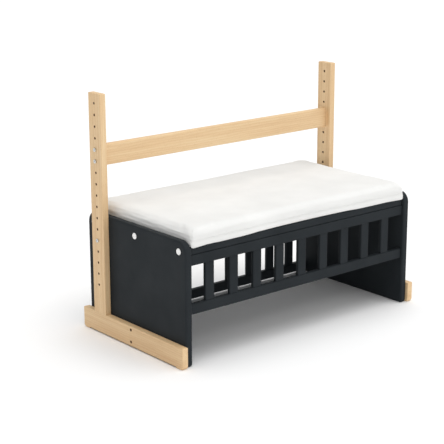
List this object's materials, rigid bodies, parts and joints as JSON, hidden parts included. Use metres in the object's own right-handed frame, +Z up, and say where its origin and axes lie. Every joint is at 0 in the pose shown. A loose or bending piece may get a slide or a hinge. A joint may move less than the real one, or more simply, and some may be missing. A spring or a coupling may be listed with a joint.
{
  "type": "slatted toy storage bench",
  "caption": "Children's bench with a slatted toy store under the seat board, a loose seat mattress and a backrest rail on two drilled posts.",
  "frame": {"origin": "on the floor, midway between the two ends and midway between front and back", "axes": "+X along the bench to the right end, +Y to the back, +Z up"},
  "size_m": [1.0062, 0.517, 0.775],
  "materials": {
    "charcoal_lacquer": "satin charcoal lacquer over smooth board",
    "beech_oiled": "pale close-grained beech, thin matt oil",
    "mattress_cover": "white woven cotton cover over foam",
    "zinc_plate": "bright zinc plate",
    "cover_plastic": "white moulded plastic, semi gloss"
  },
  "bodies": {
    "frame": {"left_end_panel": "charcoal_lacquer", "right_end_panel": "charcoal_lacquer", "front_top_rail": "charcoal_lacquer", "front_bottom_rail": "charcoal_lacquer", "front_slat_1": "charcoal_lacquer", "front_slat_2": "charcoal_lacquer", "front_slat_3": "charcoal_lacquer", "front_slat_4": "charcoal_lacquer", "front_slat_5": "charcoal_lacquer", "front_slat_6": "charcoal_lacquer", "front_slat_7": "charcoal_lacquer", "front_slat_8": "charcoal_lacquer", "front_slat_9": "charcoal_lacquer", "back_top_rail": "charcoal_lacquer", "back_bottom_rail": "charcoal_lacquer", "back_slat_1": "charcoal_lacquer", "back_slat_2": "charcoal_lacquer", "back_slat_3": "charcoal_lacquer", "back_slat_4": "charcoal_lacquer", "back_slat_5": "charcoal_lacquer", "back_slat_6": "charcoal_lacquer", "back_slat_7": "charcoal_lacquer", "back_slat_8": "charcoal_lacquer", "back_slat_9": "charcoal_lacquer", "seat_board": "charcoal_lacquer", "left_foot": "beech_oiled", "left_post": "beech_oiled", "right_foot": "beech_oiled", "right_post": "beech_oiled", "left_seat_screw_1": "zinc_plate", "left_screw_cover_1": "cover_plastic", "left_seat_screw_2": "zinc_plate", "left_screw_cover_2": "cover_plastic", "left_seat_screw_3": "zinc_plate", "left_screw_cover_3": "cover_plastic", "left_foot_screw_upper": "zinc_plate", "left_foot_screw_lower": "zinc_plate", "left_post_bolt": "zinc_plate", "left_sleeve_nut": "zinc_plate", "right_seat_screw_1": "zinc_plate", "right_screw_cover_1": "cover_plastic", "right_seat_screw_2": "zinc_plate", "right_screw_cover_2": "cover_plastic", "right_seat_screw_3": "zinc_plate", "right_screw_cover_3": "cover_plastic", "right_foot_screw_upper": "zinc_plate", "right_foot_screw_lower": "zinc_plate", "right_post_bolt": "zinc_plate", "right_sleeve_nut": "zinc_plate"},
    "mattress": {"seat_mattress": "mattress_cover"},
    "backrest": {"backrest_rail": "beech_oiled", "left_backrest_bolt_upper": "zinc_plate", "left_barrel_nut_upper": "zinc_plate", "left_backrest_bolt_lower": "zinc_plate", "left_barrel_nut_lower": "zinc_plate", "right_backrest_bolt_upper": "zinc_plate", "right_barrel_nut_upper": "zinc_plate", "right_backrest_bolt_lower": "zinc_plate", "right_barrel_nut_lower": "zinc_plate"}
  },
  "joints": [
    {"name": "mattress_draw_forward", "type": "slide", "parent": "frame", "child": "mattress", "axis": [0, -1, 0], "range_m": [0, 0.51]},
    {"name": "backrest_height", "type": "slide", "parent": "frame", "child": "backrest", "axis": [0, 0, 1], "range_m": [-0.0726, 0.1452]}
  ]
}
